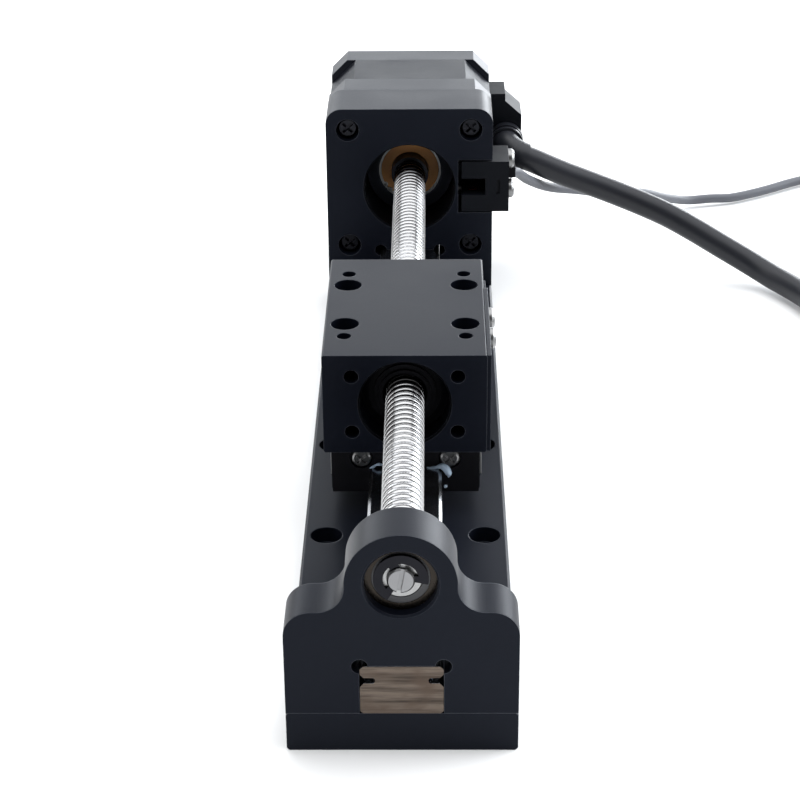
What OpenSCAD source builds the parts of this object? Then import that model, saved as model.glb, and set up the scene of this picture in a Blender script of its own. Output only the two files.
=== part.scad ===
// Motorised ball screw stage: a stepper motor whose shaft is the ball screw moves a table along one rail.
// X runs across the stage, Y runs from the free end to the motor, Z is up.
// The origin is the middle of the base plate's underside. All sizes are in millimetres.

/* [Base plate] */
// Width of the base plate, the end block and the motor bracket
base_w = 42; // [42:0.5:60]
// Length of the base plate
base_l = 207; // [205:1:215]
// Thickness of the base plate
base_t = 8; // [7:0.5:10]
// Height of the screw's axis above the underside
axis_z = 35; // [35:0.5:36]

/* [Rail and carriage] */
// Width of the rail
rail_w = 15; // [15:0.1:15.5]
// Height of the rail
rail_h = 10; // [10:0.1:10.5]
// Place of the carriage along the stage at rest
carriage_y = -8.3; // [-20:0.1:20]
// Length of the guide carriage over its seals
guide_l = 42.1; // [40:0.1:44]

/* [Table] */
// Width of the table
table_w = 33.5; // [33.5:0.5:34.5]
// Length of the table along the screw
table_l = 49.5; // [48:0.5:52]
// Height of the table's top above the underside
table_top = 46; // [46:0.5:50]
// Length of the sensor's flag behind the table
flag_reach = 12; // [10:1:14]

/* [Ball screw] */
// Outside diameter of the screw's thread
screw_d = 8; // [7.5:0.1:8]
// Diameter of the screw's journals
journal_d = 5; // [5:0.1:5]
// Bore of the table around the ball nut's body
nut_d = 18.5; // [18:0.1:18.5]

/* [Motor] */
// Width of the motor's square flange
motor_w = 42; // [42:0.1:42.5]
// Length of the motor's front cap
front_cap_l = 8.5; // [8:0.5:10]
// Length of the motor's laminations
stator_l = 16; // [16:0.5:24]
// Length of the motor's rear cap
rear_cap_l = 8; // [8:0.5:10]
// Distance of each motor screw from the axis, across and up
motor_hole = 15.5; // [15:0.1:15.6]

/* [Cables] */
// Diameter of the motor's cable
motor_cable_d = 6.5; // [6:0.1:6.5]
// Diameter of the sensor's cable
sensor_cable_d = 2.6; // [2.4:0.1:2.6]

/* [Hidden] */
$fn = 64;

eps = 0.05;
black = [0.08, 0.09, 0.11];
steel = [0.72, 0.72, 0.70];
bright = [0.86, 0.86, 0.86];

// Base plate
front_y = -base_l / 2;
rear_y = base_l / 2;
base_edge = 0.5;
mount_x = 16.3;
station_pitch = 40;
stations = [for (i = [-2:2]) i * station_pitch];
m3_clear = 3.4;
m3_tap = 3;
m3_shank = 2.9;
m3_sink = 6.6;
m3_sink_depth = 3.5;
rail_tap_z = 2.5;

// End block
end_t = 10;
shoulder_z = 29.3;
shoulder_r = 5;
arch_r = 10;
relief_d = 3;
notch_gap = 0.1;
foot_screw_x = 14;
m4_clear = 4.5;
m4_tap = 4;
m4_shank = 3.9;
m4_head_d = 7;
m4_sink_d = 7.6;
m4_sink_depth = 4.4;
foot_thread_l = 8;

// Motor bracket
bracket_t = 15.5;
bracket_y = rear_y - bracket_t;
bracket_top = axis_z + base_w / 2;
bracket_r = 4;
bracket_bore_d = 22.8;
mount_sink_d = 5.8;
mount_sink_depth = 4;
pocket_x = 12.3;
pocket_z = [28.3, 42.5];
pocket_depth = 13;

// Rail
rail_z = base_t;
rail_top = rail_z + rail_h;
rail_end_gap = 0.5;
groove_z = rail_top - 3;
groove_mouth = 1.32;
groove_throat = 0.58;
groove_in = 0.68;
groove_deep = 2.7;
rail_chamfer = 0.6;
rail_hole_d = 3.5;
rail_sink_d = 6;
rail_sink_depth = 4.5;

// Bearings, each as [bore, outside diameter, width, ball circle, ball diameter, balls]
small_bearing = [5, 13, 4, 9, 2, 8];
large_bearing = [5, 16, 5, 10.5, 2.6, 7];
bearing_recess = 2.4;
front_bearing_y = front_y + bearing_recess;
motor_bearing_y = rear_y - 1.8;
rear_bearing_y = rear_y + front_cap_l + stator_l + 1.5;
race_gap = 0.03;

// Ball screw
shaft_end_y = front_y + 1.2;
clip_t = 0.6;
clip_d = 9.8;
clip_groove_d = 4.2;
thread_start = front_bearing_y + 5.6;
thread_end = rear_y - 5.8;
slot_w = 0.8;
slot_deep = 0.8;
slot_tilt = 10;
collar_d = 9.4;

// Motor
motor_y = rear_y;
stator_y = motor_y + front_cap_l;
rear_cap_y = stator_y + stator_l;
motor_end = rear_cap_y + rear_cap_l;
cap_corner = 4.2;
stator_corner = 6.5;
boss_d = 22;
boss_h = 2.5;
stator_bore = 22.8;
rotor_d = 22.3;
rotor_teeth = 50;
poles = 8;
cavity_out = 17.2;
cavity_in = 10;

// Sensor
sensor_x = [13.2, 25.2];
sensor_z = [28.6, 42];
sensor_y = [bracket_y, bracket_y + 12];
fork_z = [33, 37.5];
fork_x = 19.2;
sensor_screw_z = [31.3, 39.4];
sensor_screw_y = bracket_y + 9.5;
window_x = [15, 17.4];
window_y = [bracket_y + 3.8, bracket_y + 6.2];
window_t = 0.6;
sensor_wall_x = 11;

// Guide carriage
guide_w = 32;
guide_z = [12, 24];
guide_core_l = 26.7;
seal_t = 1.2;
guide_gap = 0.4;
guide_ball_d = 2.8;
guide_ball_x = rail_w / 2 + 0.73;
return_x = 12.6;
return_z = 16.2;
guide_ball_count = 9;
cap_screw_x = 9.2;
cap_screw_z = 20.2;

// Table
table_z = guide_z[1];
table_mid = carriage_y - 0.65;
table_front = table_mid - table_l / 2;
table_rear = table_mid + table_l / 2;
table_edge = 0.3;
table_hole_x = 12.5;
table_hole_y = 10;
table_tap_y = 16;
table_tap_depth = 8;
table_sink_z = 30;
nut_hole_r = 12.5;
nut_hole_angle = 30;
nut_hole_depth = 6;

// Ball nut
nut_flange_d = 31;
nut_flange_t = 4;
nut_flat = 8.5;
nut_front = table_front + 6;
nut_bore_d = 8.6;
nut_race_r = [4.3, 5.6];
nut_ball_d = 1.2;
nut_ball_r = 4.95;
lead = 2;
wiper_t = 2.5;

// Flag plate
flag_t = 0.8;
flag_z = axis_z + 0.2;
flag_screw_z = 40;
flag_screw_y = [carriage_y - 4.2, carriage_y + 5.8];

// Cable outlet on the motor's side
box_x = motor_w / 2;
box_y = [rear_y + 21.5, rear_y + 32];
boot_x = 25.6;
boot_z = 35;
boot_tilt = 22;
boot_straight = 4.6;
boot_bend = 5.2;
boot_d = 7.6;
boot_end = [
    boot_x + boot_bend * cos(boot_tilt), box_y[0] - boot_straight - boot_bend,
    boot_z - boot_bend * sin(boot_tilt)
];

// The motor cable's route: down from the boot, along the floor, and into its coil
motor_r = motor_cable_d / 2;
tie_t = 0.6;
motor_route = [
    boot_end, boot_end + 2.5 * [cos(boot_tilt), 0, -sin(boot_tilt)], [36.5, 115.5, 30.3], [41, 115.8, 28.2],
    [47, 116.2, 25.7], [53.5, 116.5, 23], [60.3, 116, 20.3], [68.3, 114.5, 17.1], [75.8, 112, 13.6],
    [82, 109.5, 10.5], [87.5, 107.3, 7.8], [92, 105, 5.7], [95.8, 101.5, 4.4], [99.5, 96.5, 3.9],
    [102.8, 90.3, 3.85], [105.2, 83.5, 3.85], [107, 76, 3.85], [108.2, 67.5, 3.85], [108.75, 58, 3.85]
];
motor_coil_r = 36;
motor_coil_w = 19.5;
motor_coil_h = 6.5;
motor_coil_at = [154.5, 58];
motor_tail = [
    [128.25, 55, 4.9], [128.25, 51, 7.4], [128.25, 46, 9.7], [128.25, 40, 10.5], [128.25, 28, 10.5],
    [128.25, 19, 10], [128.25, 12, 8.4], [128.25, 8, 7.5]
];
motor_plug_turn = 270;

// The sensor cable's route
sensor_r = sensor_cable_d / 2;
sensor_route = [
    [26, 100, 34.4], [27.3, 102, 34], [31, 109.8, 28.9], [37, 118.1, 23.6], [46, 126.9, 19.3],
    [56, 134.5, 15], [64.9, 143.5, 11.9], [72.5, 153.5, 6.5], [80.3, 161.5, 2.6], [87, 163.5, 2.3],
    [92.7, 165, 1.9], [99, 168.1, 1.9], [105.7, 172.4, 1.9], [111.5, 176.6, 1.9], [117.2, 180, 1.9],
    [124, 183.1, 1.9], [130.5, 186.1, 1.9], [136.5, 188.6, 1.9]
];
sensor_coil_r = 15;
sensor_coil_w = 13;
sensor_coil_h = 5.2;
sensor_coil_at = [145, 170.3];
sensor_tail = [
    [145, 151.2, 4.5], [139, 151, 4.35], [133, 149.7, 3.8], [128, 147.6, 3.1], [125.5, 146.3, 2.9]
];
sensor_plug_turn = 207.5;

// Helpers: solids along Y through a point of the XZ plane
module slab(y0, y1) {
    translate([0, y1, 0]) rotate([90, 0, 0]) linear_extrude(y1 - y0) children();
}

module rod(y0, y1, d, x = 0, z = axis_z) {
    translate([x, y0, z]) rotate([-90, 0, 0]) cylinder(h = y1 - y0, d = d);
}

module taper(y0, y1, d0, d1, x = 0, z = axis_z) {
    translate([x, y0, z]) rotate([-90, 0, 0]) cylinder(h = y1 - y0, d1 = d0, d2 = d1);
}

module tube(y0, y1, d_out, d_in) {
    difference() {
        rod(y0, y1, d_out);
        rod(y0 - 1, y1 + 1, d_in);
    }
}

module turned(y) {
    translate([0, y, axis_z]) rotate([-90, 0, 0]) rotate_extrude() children();
}

module post(x, y, z0, z1, d) {
    translate([x, y, z0]) cylinder(h = z1 - z0, d = d);
}

module block(low, high) {
    translate(low) cube(high - low);
}

module mirrored_x() {
    children();
    mirror([1, 0, 0]) children();
}

module octagon(w, corner) {
    h = w / 2;
    c = h - corner;
    translate([0, axis_z]) polygon([[c, h], [h, c], [h, -c], [c, -h], [-c, -h], [-h, -c], [-h, c], [-c, h]]);
}

module at_motor_holes() {
    for (sx = [-1, 1], sz = [-1, 1]) translate([sx * motor_hole, 0, sz * motor_hole]) children();
}

module at_nut_holes() {
    x = nut_hole_r * cos(nut_hole_angle);
    z = nut_hole_r * sin(nut_hole_angle);
    for (sx = [-1, 1], sz = [-1, 1]) translate([sx * x, 0, sz * z]) children();
}

// A cross recess seen from -Y, cut into a screw head whose face is at y = 0
module cross_recess(size, depth) {
    for (a = [0, 90]) rotate([0, a + 45, 0]) translate([-size / 2, -1, -size / 10])
        cube([size, depth + 1, size / 5]);
}

// A pan-head screw that points along +Y from its head's face
module pan_screw(y, head_d, head_h, shank_d, shank_l, x = 0, z = axis_z) {
    difference() {
        union() {
            taper(y, y + head_h * 0.4, head_d - 1.2, head_d, x, z);
            rod(y + head_h * 0.4, y + head_h, head_d, x, z);
            rod(y + head_h - eps, y + head_h + shank_l, shank_d, x, z);
        }
        translate([x, y, z]) cross_recess(head_d * 0.6, head_h * 0.5);
    }
}

// A socket-head screw that points down from the underside of its head
module socket_screw(x, y, z, head_d, head_h, shank_d, shank_l) {
    difference() {
        union() {
            post(x, y, z, z + head_h, head_d);
            post(x, y, z - shank_l, z + eps, shank_d);
        }
        translate([x, y, z + head_h / 2]) cylinder(h = head_h, d = head_d / 2, $fn = 6);
    }
}

// A swept round tube with a ring of sides at each point of a route
function unit(v) = v / norm(v);
function heading(p, i) = unit(p[min(i + 1, len(p) - 1)] - p[max(i - 1, 0)]);
function side_of(d) = unit(cross(d, [0, 0, 1]));
function ring_at(p, i, r, n) =
    let (d = heading(p, i), s = side_of(d), u = cross(s, d))
    [for (k = [0:n - 1]) p[i] + r * (cos(360 * k / n) * s + sin(360 * k / n) * u)];

module sweep(p, r, n) {
    m = len(p);
    points = [for (i = [0:m - 1]) each ring_at(p, i, r, n)];
    walls = [for (i = [0:m - 2], k = [0:n - 1])
        [i * n + k, i * n + (k + 1) % n, (i + 1) * n + (k + 1) % n, (i + 1) * n + k]];
    start = [for (k = [n - 1:-1:0]) k];
    end = [for (k = [0:n - 1]) (m - 1) * n + k];
    polyhedron(points, [start, each walls, end]);
}

// The closed outer shape of a round coil that lies on its tie
module coil(at, r, w, h, corner) {
    translate([at[0], at[1], tie_t]) rotate_extrude() translate([r - w / 2, 0])
        polygon([[corner, 0], [w - corner, 0], [w, corner], [w, h - corner], [w - corner, h], [corner, h],
            [0, h - corner], [0, corner]]);
}

// A strap round a coil's turns, on the side that the angle names
module tie(at, r, w, h, band, angle) {
    translate([at[0], at[1], 0]) rotate([0, 0, angle]) translate([r, -band / 2, 0]) difference() {
        translate([-w / 2 - tie_t, 0, 0]) cube([w + 2 * tie_t, band, h + 2 * tie_t]);
        translate([-w / 2, -1, tie_t]) cube([w, band + 2, h]);
    }
}

// Base
module base_plate() {
    w = base_w / 2;
    color(black) difference() {
        slab(front_y, rear_y) polygon([[-w + base_edge, 0], [w - base_edge, 0], [w, base_edge],
            [w, base_t - base_edge], [w - base_edge, base_t], [-w + base_edge, base_t],
            [-w, base_t - base_edge], [-w, base_edge]]);
        for (y = stations, x = [-mount_x, mount_x]) {
            post(x, y, -1, base_t + 1, m3_clear);
            post(x, y, base_t - m3_sink_depth, base_t + 1, m3_sink);
        }
        for (y = stations) post(0, y, rail_tap_z, base_t + 1, m3_tap);
        for (y = [front_y + end_t / 2, bracket_y + bracket_t / 2], x = [-foot_screw_x, foot_screw_x]) {
            post(x, y, -1, base_t + 1, m4_clear);
            post(x, y, -1, m4_sink_depth, m4_sink_d);
        }
    }
}

module foot_screws(y) {
    color(steel) for (x = [-foot_screw_x, foot_screw_x]) difference() {
        union() {
            post(x, y, 0.4, m4_sink_depth, m4_head_d);
            post(x, y, m4_sink_depth - eps, base_t + foot_thread_l - 1, m4_shank);
        }
        translate([x, y, -1]) cylinder(h = 3.4, d = 3.4, $fn = 6);
    }
}

module end_block_screws() foot_screws(front_y + end_t / 2);

module bracket_screws() foot_screws(bracket_y + bracket_t / 2);

// The notch in a foot that stands over the rail
module rail_notch(y0, y1) {
    half = rail_w / 2 + notch_gap;
    block([-half, y0 - 1, base_t - 1], [half, y1 + 1, rail_top + notch_gap]);
    for (x = [-rail_w / 2, rail_w / 2]) rod(y0 - 1, y1 + 1, relief_d, x, rail_top);
}

module end_block_outline() {
    w = base_w / 2;
    difference() {
        union() {
            translate([-w, base_t]) square([base_w, shoulder_z - base_t]);
            translate([-arch_r - shoulder_r, shoulder_z - eps])
                square([2 * (arch_r + shoulder_r), shoulder_r + eps]);
            translate([-arch_r, shoulder_z]) square([2 * arch_r, axis_z - shoulder_z]);
            translate([0, axis_z]) circle(arch_r);
        }
        for (s = [-1, 1]) {
            translate([s * (arch_r + shoulder_r), shoulder_z + shoulder_r]) circle(shoulder_r);
            difference() {
                translate([s * (w - shoulder_r / 2), shoulder_z - shoulder_r / 2])
                    square(shoulder_r + 2 * eps, center = true);
                translate([s * (w - shoulder_r), shoulder_z - shoulder_r]) circle(shoulder_r);
            }
        }
    }
}

module end_block() {
    y1 = front_y + end_t;
    seat = front_bearing_y + small_bearing[2];
    color(black) difference() {
        slab(front_y, y1) end_block_outline();
        rod(front_y - 1, seat, small_bearing[1]);
        rod(seat - 1, y1 + 1, 10.5);
        taper(front_y - eps, front_y + 0.4, small_bearing[1] + 0.9, small_bearing[1]);
        rail_notch(front_y, y1);
        for (x = [-foot_screw_x, foot_screw_x])
            post(x, front_y + end_t / 2, base_t - 1, base_t + foot_thread_l, m4_tap);
    }
}

module bracket_outline() {
    w = base_w / 2;
    difference() {
        translate([-w, base_t]) square([base_w, bracket_top - base_t]);
        for (s = [-1, 1]) difference() {
            translate([s * (w - bracket_r / 2), bracket_top - bracket_r / 2])
                square(bracket_r + 2 * eps, center = true);
            translate([s * (w - bracket_r), bracket_top - bracket_r]) circle(bracket_r);
        }
    }
}

module motor_bracket() {
    color(black) difference() {
        slab(bracket_y, rear_y) bracket_outline();
        rod(bracket_y - 1, rear_y + 1, bracket_bore_d);
        taper(bracket_y - eps, bracket_y + 0.4, bracket_bore_d + 0.9, bracket_bore_d);
        at_motor_holes() {
            rod(bracket_y - 1, rear_y + 1, m3_clear);
            rod(bracket_y - 1, bracket_y + mount_sink_depth, mount_sink_d);
        }
        block([pocket_x, bracket_y - 1, pocket_z[0]], [base_w, bracket_y + pocket_depth, pocket_z[1]]);
        for (z = sensor_screw_z) translate([sensor_wall_x, sensor_screw_y, z]) rotate([0, 90, 0])
            cylinder(h = 3, d = 2.5, $fn = 32);
        rail_notch(bracket_y, rear_y);
        for (x = [-foot_screw_x, foot_screw_x])
            post(x, bracket_y + bracket_t / 2, base_t - 1, base_t + foot_thread_l, m4_tap);
    }
}

// Rail. Its outline grows by a gap, so that the seals follow it
function rail_half(g) =
    let (w = rail_w / 2 + g, t = rail_top + g, m = groove_mouth - g, n = groove_throat - g)
    [
        [w - 0.5, rail_z], [w, rail_z + 0.5], [w, groove_z - m], [w - groove_in, groove_z - n],
        [w - groove_deep + 0.3, groove_z - n], [w - groove_deep, groove_z - n + 0.3],
        [w - groove_deep, groove_z + n - 0.3], [w - groove_deep + 0.3, groove_z + n],
        [w - groove_in, groove_z + n], [w, groove_z + m], [w, t - rail_chamfer], [w - rail_chamfer, t]
    ];
function mirrored(p) = [for (i = [len(p) - 1:-1:0]) [-p[i][0], p[i][1]]];

module rail() {
    half = rail_half(0);
    color(steel) difference() {
        slab(front_y, rear_y - rail_end_gap) polygon([each half, each mirrored(half)]);
        for (y = stations) {
            post(0, y, 0, rail_top + 1, rail_hole_d);
            post(0, y, rail_top - rail_sink_depth, rail_top + 1, rail_sink_d);
        }
    }
}

module rail_screws() {
    color(black) for (y = stations) socket_screw(0, y, rail_top - rail_sink_depth, 5.5, 3, m3_shank, 9.5);
}

// Ball bearings
module bearing_outer(b, y) {
    lip = b[3] / 2 + b[4] / 2 - 0.28;
    color(steel) turned(y) difference() {
        translate([lip, 0]) square([b[1] / 2 - lip, b[2]]);
        translate([b[3] / 2, b[2] / 2]) circle(b[4] / 2 + race_gap);
    }
}

module bearing_inner(b, y) {
    lip = b[3] / 2 - b[4] / 2 + 0.28;
    color(bright) turned(y) difference() {
        translate([b[0] / 2, 0]) square([lip - b[0] / 2, b[2]]);
        translate([b[3] / 2, b[2] / 2]) circle(b[4] / 2 + race_gap);
    }
}

module bearing_balls(b, y) {
    color(bright) translate([0, y + b[2] / 2, axis_z]) {
        for (i = [0:b[5] - 1]) rotate([0, i * 360 / b[5], 0]) translate([b[3] / 2, 0, 0])
            sphere(d = b[4], $fn = 48);
        for (s = [-1, 1]) translate([0, s * (b[4] / 2 + 0.15) - 0.1, 0]) rotate([-90, 0, 0])
            linear_extrude(0.2) difference() {
                circle(b[3] / 2 + 0.4);
                circle(b[3] / 2 - 0.4);
            }
    }
}

module front_bearing_outer() bearing_outer(small_bearing, front_bearing_y);

module front_bearing_inner() bearing_inner(small_bearing, front_bearing_y);

module front_bearing_balls() bearing_balls(small_bearing, front_bearing_y);

module front_bearing_shields() {
    lip = small_bearing[3] / 2 + small_bearing[4] / 2 - 0.28;
    color(steel) for (y = [0.1, small_bearing[2] - 0.3])
        tube(front_bearing_y + y, front_bearing_y + y + 0.2, 2 * lip, 7.9);
}

module motor_bearing_outer() bearing_outer(large_bearing, motor_bearing_y);

module motor_bearing_inner() bearing_inner(large_bearing, motor_bearing_y);

module motor_bearing_balls() bearing_balls(large_bearing, motor_bearing_y);

// The rubbing seal that covers the motor bearing's front, its ring held under the retaining ring
module motor_bearing_seal() {
    color([0.72, 0.42, 0.16]) tube(motor_bearing_y - 0.3, motor_bearing_y, 14.8, 9.6);
}

module retaining_ring() {
    color(steel) difference() {
        union() {
            difference() {
                tube(motor_bearing_y - 0.6, motor_bearing_y, 16.6, 15);
                block([-9, motor_bearing_y - 2, axis_z - 7], [-5, motor_bearing_y + 2, axis_z - 5]);
            }
            for (p = [[-6.5, -4], [-5.3, -5.5]])
                rod(motor_bearing_y - 0.6, motor_bearing_y - 0.3, 1.5, p[0], axis_z + p[1]);
        }
        for (p = [[-6.5, -4], [-5.3, -5.5]])
            rod(motor_bearing_y - 1, motor_bearing_y, 0.6, p[0], axis_z + p[1]);
    }
}

module rear_bearing_outer() bearing_outer(small_bearing, rear_bearing_y);

module rear_bearing_inner() bearing_inner(small_bearing, rear_bearing_y);

module rear_bearing_balls() bearing_balls(small_bearing, rear_bearing_y);

module wave_washer() {
    y = rear_bearing_y + small_bearing[2];
    color(steel) tube(y, y + 0.4, 12.6, 9.6);
}

// The screw is also the motor's shaft
module ball_screw() {
    clip_y = front_bearing_y - clip_t;
    color(bright) difference() {
        union() {
            rod(shaft_end_y, thread_start, journal_d - 0.02);
            rod(front_bearing_y + small_bearing[2], thread_start, 6.4);
            rod(thread_start, thread_end, screw_d);
            rod(thread_end - 1, rear_bearing_y + small_bearing[2] + 1, journal_d - 0.02);
            rod(motor_bearing_y + large_bearing[2], motor_bearing_y + large_bearing[2] + 2, 6.4);
            rod(rear_bearing_y - 1, rear_bearing_y, 6.4);
        }
        tube(clip_y, front_bearing_y, 8, clip_groove_d);
        translate([0, shaft_end_y, axis_z]) rotate([0, slot_tilt, 0])
            block([-slot_w / 2, -1, -4], [slot_w / 2, slot_deep, 4]);
    }
}

// An open ring with three prongs that sits in the screw's front groove; its mouth points down and right
module e_clip() {
    y = front_bearing_y - clip_t;
    color(black) translate([0, y, axis_z]) rotate([0, 66, 0]) rotate([-90, 0, 0])
        linear_extrude(clip_t - 0.02)
        difference() {
            circle(d = clip_d);
            circle(d = clip_groove_d + 0.06);
            difference() {
                circle(d = 6.4);
                for (a = [62, 180, 298]) rotate(a) translate([0, -0.9]) square([5, 1.8]);
            }
            polygon([[0, 0], [8, -11], [8, 11]]);
        }
}

module screw_collar() {
    color(black) tube(thread_end, motor_bearing_y, collar_d, journal_d);
}

// Motor
module motor_front_cap() {
    color(black) difference() {
        union() {
            slab(motor_y, stator_y) octagon(motor_w, cap_corner);
            rod(motor_y - boss_h, motor_y + 1, boss_d);
        }
        rod(motor_y - boss_h - 1, motor_bearing_y + large_bearing[2], large_bearing[1]);
        tube(motor_bearing_y - 0.65, motor_bearing_y, 16.7, 15);
        rod(motor_y, stator_y + 1, 12);
        tube(stator_y - 3, stator_y + 1, 2 * cavity_out, 2 * cavity_in);
        at_motor_holes() rod(motor_y - 1, stator_y + 1, m3_tap);
    }
}

module pole_outline(r0, r1, w) {
    for (i = [0:poles - 1]) rotate((i + 0.5) * 360 / poles) translate([r0, -w / 2]) square([r1 - r0, w]);
}

module stator() {
    color([0.10, 0.10, 0.11]) difference() {
        slab(stator_y, rear_cap_y) octagon(motor_w, stator_corner);
        rod(stator_y - 1, rear_cap_y + 1, stator_bore);
        translate([0, stator_y - 1, axis_z]) rotate([-90, 0, 0]) linear_extrude(stator_l + 2)
            pole_outline(10.5, 17, 6);
        at_motor_holes() rod(stator_y - 1, rear_cap_y + 1, m3_tap);
    }
}

module windings() {
    reach = 1.8;
    color([0.72, 0.36, 0.14]) translate([0, stator_y - reach, axis_z]) rotate([-90, 0, 0])
        linear_extrude(stator_l + 2 * reach) pole_outline(11.6, 16.6, 5.4);
}

module motor_rear_cap() {
    color(black) difference() {
        slab(rear_cap_y, motor_end) octagon(motor_w, cap_corner);
        rod(rear_cap_y - 1, rear_bearing_y + small_bearing[2] + 0.5, small_bearing[1]);
        rod(rear_cap_y - 1, motor_end - 1.2, 8);
        tube(rear_cap_y - 1, rear_cap_y + 2.2, 2 * cavity_out, 2 * cavity_in);
        at_motor_holes() {
            rod(rear_cap_y - 1, motor_end + 1, m3_tap);
            rod(motor_end - 3, motor_end + 1, mount_sink_d);
        }
    }
}

module toothed_disc(h, turn) {
    pitch = 360 / rotor_teeth;
    r1 = rotor_d / 2;
    r0 = r1 - 0.5;
    rotate([-90, 0, 0]) linear_extrude(h) difference() {
        polygon([for (i = [0:rotor_teeth - 1], s = [[-0.3, r0], [-0.2, r1], [0.2, r1], [0.3, r0]])
            s[1] * [cos((i + s[0]) * pitch + turn), sin((i + s[0]) * pitch + turn)]]);
        circle(d = journal_d);
    }
}

rotor_l = 15;
rotor_y = stator_y + 0.5;
magnet_l = 3;
module rotor_cups() {
    cup_l = (rotor_l - magnet_l) / 2;
    color(steel) {
        translate([0, rotor_y, axis_z]) toothed_disc(cup_l, 0);
        translate([0, rotor_y + cup_l + magnet_l, axis_z]) toothed_disc(cup_l, 180 / rotor_teeth);
    }
}

module rotor_magnet() {
    y = rotor_y + (rotor_l - magnet_l) / 2;
    color([0.25, 0.25, 0.27]) tube(y, y + magnet_l, 20, journal_d);
}

module motor_bolts() {
    color(steel) at_motor_holes() difference() {
        union() {
            rod(motor_end - 3, motor_end - 0.6, 5.4);
            rod(stator_y - 3, motor_end - 3 + eps, m3_shank);
        }
        translate([0, motor_end - 0.6, axis_z]) rotate([180, 0, 0]) cross_recess(3.2, 1.2);
    }
}

module motor_mount_screws() {
    color([0.16, 0.16, 0.17]) at_motor_holes()
        pan_screw(bracket_y + 1.9, 5.4, 2.1, m3_shank, bracket_t - 4 + 4.5);
}

// Slot sensor in the bracket's pocket
module sensor_body() {
    color(black) difference() {
        block([sensor_x[0], sensor_y[0], sensor_z[0]], [sensor_x[1], sensor_y[1], sensor_z[1]]);
        block([sensor_x[0] - 1, sensor_y[0] - 1, fork_z[0]], [fork_x, sensor_y[1] + 1, fork_z[1]]);
        block([22, sensor_y[0] - 1, fork_z[0] + 0.3], [22.9, sensor_y[0] + 0.5, fork_z[1] - 0.3]);
        block([window_x[0], window_y[0], fork_z[0] - window_t],
            [window_x[1], window_y[1], fork_z[1] + window_t]);
        for (z = sensor_screw_z) translate([sensor_x[0] - 1, sensor_screw_y, z]) rotate([0, 90, 0])
            cylinder(h = 20, d = 2.5, $fn = 32);
    }
}

module sensor_screws() {
    color(steel) for (z = sensor_screw_z) translate([sensor_x[1], sensor_screw_y, z]) rotate([0, 0, 90])
        translate([0, 0, -axis_z]) pan_screw(-1.6, 5, 1.6, 2.4, sensor_x[1] - sensor_wall_x - 0.2);
}

module sensor_windows() {
    color([0.25, 0.05, 0.05]) for (z = [fork_z[0] - window_t, fork_z[1]])
        block([window_x[0], window_y[0], z], [window_x[1], window_y[1], z + window_t]);
}

// Table, with the ball nut's flange on its rear face
module table() {
    w = table_w / 2;
    e = table_edge;
    color(black) difference() {
        slab(table_front, table_rear) polygon([[-w + e, table_z], [w - e, table_z], [w, table_z + e],
            [w, table_top - e], [w - e, table_top], [-w + e, table_top], [-w, table_top - e],
            [-w, table_z + e]]);
        rod(table_front - 1, table_rear + 1, nut_d);
        taper(table_front - eps, table_front + 0.4, nut_d + 0.9, nut_d);
        at_nut_holes() {
            rod(table_front - 1, table_front + nut_hole_depth, m3_tap);
            rod(table_rear - nut_hole_depth, table_rear + 1, m3_tap);
        }
        for (x = [-table_hole_x, table_hole_x], y = [-table_hole_y, table_hole_y]) {
            post(x, carriage_y + y, table_z - 1, table_top + 1, m3_clear);
            post(x, carriage_y + y, table_sink_z, table_top + 1, rail_sink_d - 0.1);
        }
        for (x = [-table_hole_x, table_hole_x], y = [-table_tap_y, table_tap_y])
            post(x, carriage_y + y, table_top - table_tap_depth, table_top + 1, m3_tap);
        for (y = flag_screw_y) translate([w - 3.4, y, flag_screw_z]) rotate([0, 90, 0])
            cylinder(h = 5, d = 2.5, $fn = 32);
    }
}

module table_screws() {
    color(steel) for (x = [-table_hole_x, table_hole_x], y = [-table_hole_y, table_hole_y])
        socket_screw(x, carriage_y + y, table_sink_z, 5.5, 3, m3_shank, table_sink_z - table_z + 3.5);
}

module ball_nut() {
    color(steel) difference() {
        union() {
            rod(nut_front, table_rear + 1, nut_d - 0.1);
            intersection() {
                rod(table_rear, table_rear + nut_flange_t, nut_flange_d);
                block([-20, table_rear - 1, axis_z - nut_flat], [20, table_rear + 6, axis_z + nut_flat]);
            }
        }
        rod(nut_front - 1, table_rear + nut_flange_t + 1, nut_bore_d);
        tube(nut_front + 5, table_rear - 2, 2 * nut_race_r[1], 2 * nut_race_r[0]);
        rod(nut_front - 1, nut_front + wiper_t, 15);
        rod(table_rear + nut_flange_t - wiper_t, table_rear + nut_flange_t + 1, 15);
        at_nut_holes() {
            rod(table_rear - 1, table_rear + nut_flange_t + 1, m3_clear);
            rod(table_rear + nut_flange_t - 2, table_rear + nut_flange_t + 1, 5.8);
        }
    }
}

module nut_screws() {
    y = table_rear + nut_flange_t;
    color(steel) at_nut_holes() difference() {
        union() {
            rod(y - 2, y, 5.2);
            rod(y - nut_flange_t - 5, y - 2 + eps, m3_shank);
        }
        translate([0, y - 1.1, axis_z]) rotate([-90, 0, 0]) cylinder(h = 2, d = 2.3, $fn = 6);
    }
}

// One recirculating circuit, drawn as a helix of balls just outside the screw
nut_turns = 3;
balls_per_turn = 24;
module nut_balls() {
    y0 = (nut_front + table_rear) / 2 - 3;
    color(bright) for (i = [0:nut_turns * balls_per_turn - 1])
        translate([0, y0 + i * lead / balls_per_turn, axis_z]) rotate([0, i * 360 / balls_per_turn, 0])
            translate([nut_ball_r, 0, 0]) sphere(d = nut_ball_d, $fn = 24);
}

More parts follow.
